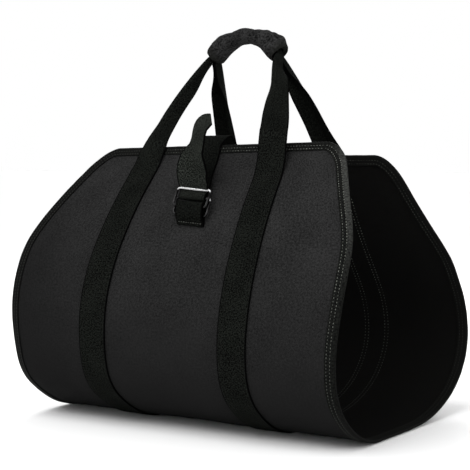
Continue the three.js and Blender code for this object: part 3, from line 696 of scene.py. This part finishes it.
def loop_stations(side):
    """Functions of t that each give one section across the loop's webbing."""
    start = GAP if side == FRONT else 0
    ups = np.concatenate([np.arange(start, HALF_LENGTH, 5.0), [HALF_LENGTH + EDGE_OVERRUN]])

    def crease_at(leg, up):
        off = loop_off(side, leg, up) + WEBBING_WALL
        return sheet_point(side, loop_line(side, leg, up), up, off)

    def sheet_level(leg, up):
        line = loop_line(side, leg, up)
        width = sheet_point(side, line + 1, up, 0) - sheet_point(side, line - 1, up, 0)
        return width.normalized() * side * leg

    def on_sheet(leg, up):
        folding = lift_at(up) if STAND_OFF[leg_name(side, leg)] else 0
        if folding == 0:
            line = loop_line(side, leg, up)
            off = loop_off(side, leg, up) + WEBBING_WALL / 2
            return lambda t: sheet_point(side, line + side * leg * t, up, off)
        way = ((crease_at(leg, up) - crease_at(leg, up - EDGE_OVERRUN)) * -leg).normalized()
        turn = folding * math.radians(LEG_FOLD[leg_name(side, leg)][0])
        return lambda t: folded_point(crease_at(leg, up), way, sheet_level(leg, up), turn, t)

    def in_grip(share):
        middle, way, up = grip_frame(share)
        beside = Vector((0, side * FOLD_DEPTH / 2, 0))
        return middle + up * (-side * (CREASE_WIDTH + GAP) / 2) + beside, way

    def leg_hull(leg):
        start = crease_at(leg, HALF_LENGTH + EDGE_OVERRUN)
        leaving = (start - crease_at(leg, HALF_LENGTH)).normalized()
        end, way = in_grip(leg)
        splay, ease = LEG_ENDS[leg_name(side, leg)]
        arriving = (way * -leg - Vector((0, side * splay, 0))).normalized()
        length = (end - start).length
        return [start, start + leaving * LEAVING_EASE * length, end - arriving * ease * length, end]

    def on_leg(leg, hull, share):
        forward = curve_way(hull, share) * -leg
        near = [share - FOLD_BLUR, share, share + FOLD_BLUR]
        turn = math.radians(np.interp(near, FOLD_SHARES, LEG_FOLD[leg_name(side, leg)]).mean())
        narrow = 1 - (1 - GATHER) * smooth(share, GATHER_START, 1)
        level = forward.cross(Vector((0, side, 0))).normalized()
        level = level.lerp(sheet_level(leg, HALF_LENGTH), max(0, 1 - share / LEVEL_SHARE))
        return lambda t: folded_point(curve_point(hull, share), forward, level, turn, t * narrow)

    def gripped(share):
        crease, way = in_grip(share)
        level = way.cross(Vector((0, side, 0)))
        return lambda t: folded_point(crease, way, level, math.pi / 2, t * GATHER)

    leg_shares = np.linspace(0, 1, 34)[1:-1]
    left, right = leg_hull(-1), leg_hull(1)
    sections = [on_sheet(-1, up) for up in ups]
    sections += [on_leg(-1, left, share) for share in leg_shares]
    sections += [gripped(share) for share in np.linspace(-1, 1, 26)]
    sections += [on_leg(1, right, share) for share in leg_shares[::-1]]
    return sections + [on_sheet(1, up) for up in ups[::-1]]


# Dull black ribs with lighter grains, painted light on the closing strap's tail, dark selvedges
WEBBING_LENGTH = 1390
webbing_finish = Finish("black_webbing", Roughness=0.9, Specular_IOR_Level=0.01)
place = webbing_finish.uv(WEBBING_WIDTH, WEBBING_LENGTH)
grains = webbing_finish.grain(place, 0.6, detail=3)
broad = webbing_finish.grain(place, 0.03, detail=2)
knit = weave(webbing_finish, place, 2.6)
shade = (grains * 0.85 + broad * 0.15).above(0.35, 0.67)
# Painted light: a number on each piece mixes the dark webbing towards a paler one, most on the lit
# tail
webbing_in_shade = webbing_finish.mix(shade, grey(0), grey(14, (0.96, 1.06, 0.92)))
webbing_in_light = webbing_finish.mix(shade, grey(5), grey(50, (0.96, 1.08, 0.92)))
colour = webbing_finish.mix(webbing_finish.number("tone_and_painted_light"), webbing_in_shade, webbing_in_light)
across = webbing_finish.parts(webbing_finish.node("UVMap"))[0]
selvedge = 1 - across.above(0.01, 0.05) * (1 - across.above(0.95, 0.99))
colour = webbing_finish.mix(selvedge, colour, grey(4))
webbing_finish.show(colour, knit + grains * 1.5, depth=0.3)

# Black thread holds the webbing down, two rows along each edge and two across near the top
LOOP_STITCH_SIZE = (2.4, 0.8, 0.6)
LOOP_INNER_STITCH_SIZE = (2.2, 1.1, 0.7)
SEAM_INSET = 1.8
SEAM_SPACING = 5
CROSS_SPACING = 3
SEAM_TOP = HALF_LENGTH - 52
OUTER_PITCH = 3.4
INNER_PITCH = 4.2
LOOP_TONE = 0.3
black_thread = thread_of("black_thread", 12, 30)


def loop_seams(side):
    """Places of the stitches that sew one loop to the sheet, on its face and on the inside."""
    places, inner_places = [], []
    edge = HALF_WEBBING - SEAM_INSET
    lines = (-edge, SEAM_SPACING - edge, edge - SEAM_SPACING, edge)
    rows = [[(t, up) for up in np.arange(6, SEAM_TOP, 6)] for t in lines]
    rows += [[(t, up) for t in np.linspace(-edge, edge, 7)]
             for up in (SEAM_TOP, SEAM_TOP - CROSS_SPACING)]
    for leg in (-1, 1):
        def on_face(t, up, extra=0):
            off = loop_off(side, leg, up) + WEBBING_WALL - SUNK + extra
            return sheet_point(side, loop_line(side, leg, up) + t, up, off)

        for row in rows:
            line = [on_face(t, up) for t, up in row]
            outs = [on_face(t, up, 1) - on_face(t, up) for t, up in row]
            places += even_places(line, outs, OUTER_PITCH)
            within = [sheet_point(side, loop_line(side, leg, up) + t, up, SUNK) for t, up in row]
            inner_places += even_places(within, [out * -1 for out in outs], INNER_PITCH)
    return places, inner_places


for side, name in ((FRONT, "front_webbing"), (BACK, "back_webbing")):
    sections = loop_stations(side)
    loop = flat_grid(name + "_strap", columns=24, rows=len(sections) - 1)

    def strap_place(u, v):
        section = sections[round(v * (len(sections) - 1))]
        return section((u - 0.5) * WEBBING_WIDTH)

    shape(loop, strap_place)
    give_wall(loop, WEBBING_WALL)
    mark(loop, "tone_and_painted_light", [LOOP_TONE] * len(loop.data.vertices))
    loop.data.materials.append(webbing_finish.data)
    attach(loop, "root")
    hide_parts(name)
    outer_places, inner_places = loop_seams(side)
    seam = sew(name + "_stitches", outer_places, LOOP_STITCH_SIZE, black_thread)
    inner_seam = sew(
        name + "_inner_stitches", inner_places, LOOP_INNER_STITCH_SIZE, pale_thread)
    length = sum((b(0) - a(0)).length for a, b in zip(sections, sections[1:])) * MM

# Grip wrap.
# A padded sleeve of the same canvas, rolled round both folded webbings and sewn along
# underneath. Hands have pressed it into lumps between its two turned ends.
GRIP_PAD = 4.8
GRIP_SIDE_PAD = 3.6
SLEEVE_WALL = 1.2
SLEEVE_GIRTH = 70
SLEEVE_LENGTH = 115
HOLE_HEIGHT = CREASE_WIDTH + 2 * GAP
HOLE_WIDTH = FOLD_DEPTH / 2 + GAP
# Swell and crown of the padding, from the left end to the right one
SWELL_PLACES = [-1, -0.86, -0.62, -0.35, -0.08, 0.2, 0.46, 0.7, 0.88, 1]
SWELL = [1.1, 1.16, 1.06, 0.97, 1.0, 0.95, 0.98, 1.08, 1.2, 1.12]
CROWN = [2.8, 6.4, 4.6, 0.2, 1.2, 0.0, 3.2, 7.2, 8.0, 4.0]
LUMP_SHARE = 0.12
CRUSH_SHARE = 0.035
SEAM_GROOVE = 0.8
SEAM_SPREAD = 0.003
END_SHARE = 0.06
END_PULL = 0.05
END_PINCH = 0.25

grip = flat_grid("grip_sleeve", columns=72, rows=120)


def sleeve_place(u, v):
    """The sleeve's outer face, turned in at both ends to meet the webbing."""
    end = min(v, 1 - v) / END_SHARE
    inner = max(0, 1 - end)
    share = min(max((v - END_SHARE) / (1 - 2 * END_SHARE), 0), 1) * 2 - 1
    share = share * (1 - END_PULL * inner * inner)
    middle, way, up = grip_frame(share)
    turn = 2 * math.pi * u - math.pi / 2
    level, rise = math.cos(turn), math.sin(turn)
    swell = np.interp(share, SWELL_PLACES, SWELL) - END_PINCH * inner * inner
    lumps = noise.noise(Vector((share * 2.6, level * 1.2, rise * 1.2)))
    folds = noise.noise(Vector((share * 8 + rise * 1.5, level * 2.2, rise * 2.2 + 9)))
    swell += (lumps * LUMP_SHARE + folds * CRUSH_SHARE) * (1 - inner)
    groove = SEAM_GROOVE * math.exp(-(2 * min(u, 1 - u)) ** 2 / SEAM_SPREAD)
    height = (HOLE_HEIGHT + GRIP_PAD) * swell - groove
    if rise > 0:
        height += np.interp(share, SWELL_PLACES, CROWN) * (1 - inner) * (1 + folds * 0.3)
    width = (HOLE_WIDTH + GRIP_SIDE_PAD) * swell
    return middle + up * rise * height + Vector((0, level * width, 0))


shape(grip, sleeve_place)
face_outwards(grip, merge=True)
give_wall(grip, SLEEVE_WALL)

# Patchy from hands, with darker turned ends
grip_finish = Finish("grip_canvas", Roughness=0.92, Specular_IOR_Level=0.03)
place = grip_finish.uv(SLEEVE_GIRTH, SLEEVE_LENGTH)
patches = grip_finish.grain(place, 0.09, detail=5)
speckle = grip_finish.grain(place, 0.5, detail=2)
shade = patches * 0.35 + speckle * 0.65
colour = grip_finish.mix(shade.above(0.34, 0.66), grey(9), grey(55))
ends = grip_finish.parts(grip_finish.node("UVMap"))[1]
hem = 1 - ends.above(0.05, 0.16) * (1 - ends.above(0.86, 0.97))
colour = grip_finish.mix(hem, colour, grey(24, (1, 1.05, 0.9)))
grip_finish.show(colour, weave(grip_finish, place, 1.1) + patches * 2 + speckle, depth=0.25)
grip.data.materials.append(grip_finish.data)
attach(grip, "root")
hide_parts("grip_wrap")

# Ring tab.
# A short length of webbing sewn to the front, folded over the straight bars of both rings
# and down onto itself.
TAB_BASE = 0.75 * HALF_LENGTH
TAB_OFFSET = 11
TAB_CLEAR = 0.5
SLANT = math.radians(8)
SKEW = math.radians(-6)
STRAP_LIFT = 7
LIFT_LENGTH = 92
STRAP_DRIFT = 7
RING_WIRE = 3
WIRE_RADIUS = RING_WIRE / 2
RING_DEPTH = 22
RING_STEP = 9
LOWER_BAR = 12
TAB_FACE = CANVAS_WALL + TAB_CLEAR + WEBBING_WALL
LOWER_BAR_OFF = TAB_FACE + GAP + WIRE_RADIUS
LOWER_BOW = (LOWER_BAR + RING_DEPTH, TAB_FACE + 3 * GAP + WIRE_RADIUS)
UPPER_BAR = (LOWER_BAR + RING_STEP, LOWER_BAR_OFF + RING_WIRE + 1.5 * GAP)
UPPER_BOW = (LOWER_BOW[0] + RING_STEP, LOWER_BOW[1] + RING_WIRE + 3 * GAP)


def strap_point(across, along, off):
    """A point of the closing strap's own line, along mm up it from the tab's sewn end."""
    lift = STRAP_LIFT * math.sin(math.pi * min(max(along / LIFT_LENGTH, 0), 1))
    drift = STRAP_DRIFT * smooth(along, LIFT_LENGTH / 2, LIFT_LENGTH)
    return sheet_point(
        FRONT, TAB_OFFSET + across * math.cos(SKEW) - along * math.sin(SLANT) - drift,
        TAB_BASE + across * math.sin(SKEW) + along * math.cos(SLANT), off + lift)


def station(along, off):
    """A point of the strap's outer face and the way across it."""
    width = (strap_point(1, along, off) - strap_point(-1, along, off)).normalized()
    return strap_point(0, along, off), width


def smooth_stations(stations, pitch):
    """Stations at an even pitch on a smooth curve through the given ones."""
    found = []
    last_span = len(stations) - 2
    for i in range(last_span + 1):
        four = [stations[min(max(k, 0), last_span + 1)][0] for k in range(i - 1, i + 3)]
        before, start, end, after = four
        chord = end - start
        span = chord.length
        reach = [max((b - a).length, 1e-6) for a, b in zip(four, four[1:])]
        leave = (end - before) / (reach[0] + reach[1]) * span if i else chord
        arrive = (after - start) / (reach[1] + reach[2]) * span if i < last_span else chord
        steps = max(1, round(span / pitch))
        for s in np.arange(steps) / steps:
            point = (start * (2 * s ** 3 - 3 * s ** 2 + 1) + leave * (s ** 3 - 2 * s ** 2 + s)
                     + end * (3 * s ** 2 - 2 * s ** 3) + arrive * (s ** 3 - s ** 2))
            found.append((point, stations[i][1].lerp(stations[i + 1][1], s)))
    return found + [stations[-1]]


STRAP_COLUMNS = 14
STRAP_TONE = 0.2
LIGHT_RAMP_ROWS = 24
# Shares of the half width that are cut away at the tip
LEFT_CUT = 0.5
RIGHT_CUT = 0.25


def strap_piece(name, stations, tip=0, lit_from=1e6):
    """A strap whose given face follows the stations, its tip rounded over the last ones."""
    def place(u, v):
        i = round(v * (len(stations) - 1))
        point, width = stations[i]
        way = stations[min(i + 1, len(stations) - 1)][0] - stations[max(i - 1, 0)][0]
        away = width.cross(way).normalized()
        cut = max(0, i - len(stations) + 1 + tip) / max(tip, 1)
        t = (u - 0.5) * WEBBING_WIDTH * (1 - (LEFT_CUT if u < 0.5 else RIGHT_CUT) * cut ** 2)
        return point + width.normalized() * t + away * (WEBBING_WALL / 2)

    strap = flat_grid(name, columns=STRAP_COLUMNS, rows=len(stations) - 1)
    shape(strap, place)
    give_wall(strap, WEBBING_WALL)
    row_points = STRAP_COLUMNS + 1
    rows = np.arange(len(strap.data.vertices)) % (row_points * len(stations)) // row_points
    # Painted light: from a given row to the tip, the strap is painted paler
    mark(strap, "tone_and_painted_light", np.clip((rows - lit_from) / LIGHT_RAMP_ROWS, STRAP_TONE, 1))
    strap.data.materials.append(webbing_finish.data)
    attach(strap, "root")
    length = sum((b[0] - a[0]).length for a, b in zip(stations, stations[1:]))
    for corner in strap.data.uv_layers.active.data:
        corner.uv.y *= length / WEBBING_LENGTH
    return strap, (WEBBING_WIDTH * MM, length * MM)


outside = UPPER_BAR[1] + WIRE_RADIUS + GAP
fold_at = UPPER_BAR[0] + WIRE_RADIUS
radius = (outside - TAB_FACE) / 2
tab_stations = [
    station(0, TAB_FACE + GAP), station(0.3 * LOWER_BAR, TAB_FACE + GAP),
    station(LOWER_BAR - RING_WIRE, LOWER_BAR_OFF + 1.3 * RING_WIRE),
    station(UPPER_BAR[0] - 1.3 * RING_WIRE, outside)]
tab_stations += [
    station(fold_at + radius * math.cos(turn), TAB_FACE + radius + radius * math.sin(turn))
    for turn in np.linspace(math.pi / 2, -math.pi / 2, 9)]
tab_stations += [station(fold_at / 2, TAB_FACE), station(0, TAB_FACE)]
tab, tab_flat = strap_piece("ring_tab_strap", smooth_stations(tab_stations, 1.5))
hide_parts("ring_tab")

TAB_STITCH_SIZE = (2.2, 1, 0.8)
TAB_SEAM_UP = 2.5
TAB_SEAM_HALF = 17
seam_off = TAB_FACE + GAP + WEBBING_WALL - SUNK
seam_line = [
    strap_point(t, TAB_SEAM_UP, seam_off) for t in np.linspace(-TAB_SEAM_HALF, TAB_SEAM_HALF, 12)]
out = strap_point(0, TAB_SEAM_UP, TAB_FACE + 1) - strap_point(0, TAB_SEAM_UP, TAB_FACE)
seam_places = even_places(seam_line, [out] * len(seam_line), OUTER_PITCH)
tab_seam = sew("tab_stitches", seam_places, TAB_STITCH_SIZE, pale_thread)

# Rings.
# Two rings of steel wire, each with one straight bar held in the tab and a bow that
# the closing strap runs round. The steel is painted dark as a dark reflection, and its outer bow
# bright as a painted highlight.
RING_SIDE_ROOM = 3.4
RING_CORNER = 3.6
QUARTER = math.pi / 2
QUARTER_EASE = 0.12
WIRE_SHARE = 0.25
# The painted highlight covers the bows from and to these depths below their outer ends
HIGHLIGHT_START, HIGHLIGHT_END = 3.5, 0.5
CORNER_HIGHLIGHT_START, CORNER_HIGHLIGHT_END = 8, 3
ring_places = {
    "lower_ring": ((LOWER_BAR, LOWER_BAR_OFF), LOWER_BOW),
    "upper_ring": (UPPER_BAR, UPPER_BOW),
}
steel_finish = Finish("steel_painted_highlight", Metallic=1.0)
scuffs = steel_finish.grain(steel_finish.spot(), 900, detail=3)
# Painted reflection: the steel is painted dark, and bright only in its painted highlight
painted_reflection = steel_finish.mix(steel_finish.number("painted_highlight"), grey(40), grey(200))
steel_finish.show(painted_reflection, scuffs, depth=0.01)
dull = scuffs * 0.12 + 0.16
steel_finish.tree.links.new(dull.socket, steel_finish.shader.inputs["Roughness"])

for name, (bar_at, bow_at) in ring_places.items():
    bar, bow = strap_point(0, *bar_at), strap_point(0, *bow_at)
    width = station(*bow_at)[1]
    aside = (bow - bar).dot(width)
    upward = ((bow - bar) - width * aside).normalized()
    half = HALF_WEBBING + RING_SIDE_ROOM + WIRE_RADIUS
    depth = (bow - bar).length
    bpy.ops.object.select_all(action="DESELECT")
    bpy.ops.mesh.primitive_torus_add(
        major_segments=64, minor_segments=14, major_radius=1, minor_radius=WIRE_SHARE)
    ring = bpy.context.object
    ring.name = ring.data.name = name + "_wire"
    highlight_shares = []
    for vertex in ring.data.vertices:
        # The round ring is spread to its four corners, and its wire made round again
        angle = math.atan2(vertex.co.y, vertex.co.x)
        radial = (math.hypot(vertex.co.x, vertex.co.y) - 1) / WIRE_SHARE * WIRE_RADIUS
        lie = vertex.co.z / WIRE_SHARE * WIRE_RADIUS
        quarter = math.floor(angle / QUARTER) % 4
        turn = smooth(angle % QUARTER, QUARTER_EASE, QUARTER - QUARTER_EASE) * QUARTER
        heading = quarter * QUARTER + turn
        corner = Vector((
            (half - RING_CORNER) * (1 if quarter in (0, 3) else -1),
            depth - RING_CORNER if quarter in (0, 1) else RING_CORNER))
        out = Vector((math.cos(heading), math.sin(heading)))
        flat = corner + out * (RING_CORNER + radial)
        across = width * (flat.x + aside / 2)
        vertex.co = (bar + across + upward * flat.y + width.cross(upward) * lie + ORIGIN) * MM
        # Painted highlight: the bow's outer end, and on the lower ring only its outer corner, is
        # painted bright
        pale_rim = smooth(flat.y, depth - HIGHLIGHT_START, depth - HIGHLIGHT_END)
        if name == "lower_ring":
            pale_rim *= smooth(flat.x, half - CORNER_HIGHLIGHT_START, half - CORNER_HIGHLIGHT_END)
        highlight_shares.append(pale_rim)
    mark(ring, "painted_highlight", highlight_shares)
    face_outwards(ring)
    bpy.ops.object.shade_smooth()
    ring.data.materials.append(steel_finish.data)
    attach(ring, "root")
    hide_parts(name)

# Closing strap.
# One strap of the webbing, sewn to the back. It hangs across the open top, runs down the
# front behind both rings, round the lower bow, out under the upper one, and stands up as a
# free tail with a curled tip.
STRAP_SEWN_LENGTH = 62
CREST_HEIGHT = 9
CREST_SETBACK = 15
CREST_SHIFT = 4
BRIDGE_SAG = 26
FRONT_SPANS = 7
STATION_PITCH = 3
TAIL_LENGTH = 96
TAIL_SPANS = 36
TIP_SPANS = 7
LIT_TAIL_LEAD = 18
# Turns of the tail in degrees, from the rings to its tip
TAIL_SHARES = [0, 0.1, 0.25, 0.4, 0.55, 0.7, 0.82, 0.92, 1]
TAIL_LEAN = [-28, 4, 10, 6, -2, -6, -8, -22, -44]
TAIL_SIDE = [-20, -14, 4, 18, 22, 6, 14, 46, 58]
TAIL_TWIST = [0, 8, 18, 0, -28, -32, -30, -22, -10]

level = Vector((1, 0, 0))
top_along = (HALF_LENGTH - TAB_BASE) / math.cos(SLANT)
edge_line = TAB_OFFSET - top_along * math.sin(SLANT)
face_over = CANVAS_WALL + BINDING_WALL + 3 * GAP + WEBBING_WALL
back_ups = (
    HALF_LENGTH - STRAP_SEWN_LENGTH, HALF_LENGTH - RAISE_START,
    HALF_LENGTH - RAISE_END, HALF_LENGTH + EDGE_OVERRUN)
back_faces = (TAB_FACE, TAB_FACE, face_over, face_over)
stations = [
    (sheet_point(BACK, edge_line, up, face), level) for up, face in zip(back_ups, back_faces)]
back_edge = stations[-1][0]
front_edge = strap_point(0, top_along + EDGE_OVERRUN, face_over)
back_crest = back_edge + Vector((0, -0.45 * CREST_SETBACK, CREST_HEIGHT))
front_crest = front_edge + Vector((CREST_SHIFT, CREST_SETBACK, CREST_HEIGHT))
sag = back_crest.lerp(front_crest, 0.5)
sag.z = FRONT_TOP.z - BRIDGE_SAG
stations += [(point, level) for point in (
    back_crest, back_edge + Vector((0, -1.4 * CREST_SETBACK, 0)), sag,
    front_edge + Vector((CREST_SHIFT, 1.7 * CREST_SETBACK, 0)), front_crest)]
face = TAB_FACE + GAP
edge_along = top_along + EDGE_OVERRUN
for i in range(FRONT_SPANS + 1):
    along = edge_along + (LOWER_BOW[0] - edge_along) * i / FRONT_SPANS
    over = smooth(along, top_along - RAISE_START, top_along - RAISE_END)
    stations.append(station(along, face + (face_over - face) * over))
radius = LOWER_BOW[1] - face
for turn in np.linspace(-math.pi / 2, math.pi / 2, 9)[1:]:
    round_bow = (LOWER_BOW[0] - radius * math.cos(turn), LOWER_BOW[1] + radius * math.sin(turn))
    stations.append(station(*round_bow))
behind = UPPER_BOW[1] - WIRE_RADIUS - 3 * GAP - WEBBING_WALL
stations.append(station(UPPER_BOW[0], behind))
stations = smooth_stations(stations, STATION_PITCH)

point, base = stations[-1]
# Painted light: from just before the upper bow up the tail, the strap is painted paler
lit_from = len(stations) - LIT_TAIL_LEAD
for i in range(1, TAIL_SPANS + 1):
    lean, aside, twist = [
        math.radians(np.interp(i / TAIL_SPANS, TAIL_SHARES, turns))
        for turns in (TAIL_LEAN, TAIL_SIDE, TAIL_TWIST)]
    ahead = math.cos(aside)
    way = Vector((math.sin(aside), -math.sin(lean) * ahead, math.cos(lean) * ahead))
    point = point + way * (TAIL_LENGTH / TAIL_SPANS)
    across = (base - way * base.dot(way)).normalized()
    stations.append((point, Matrix.Rotation(twist, 3, way) @ across))
closing, closing_flat = strap_piece(
    "closing_strap_webbing", stations, tip=TIP_SPANS, lit_from=lit_from)
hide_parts("closing_strap")
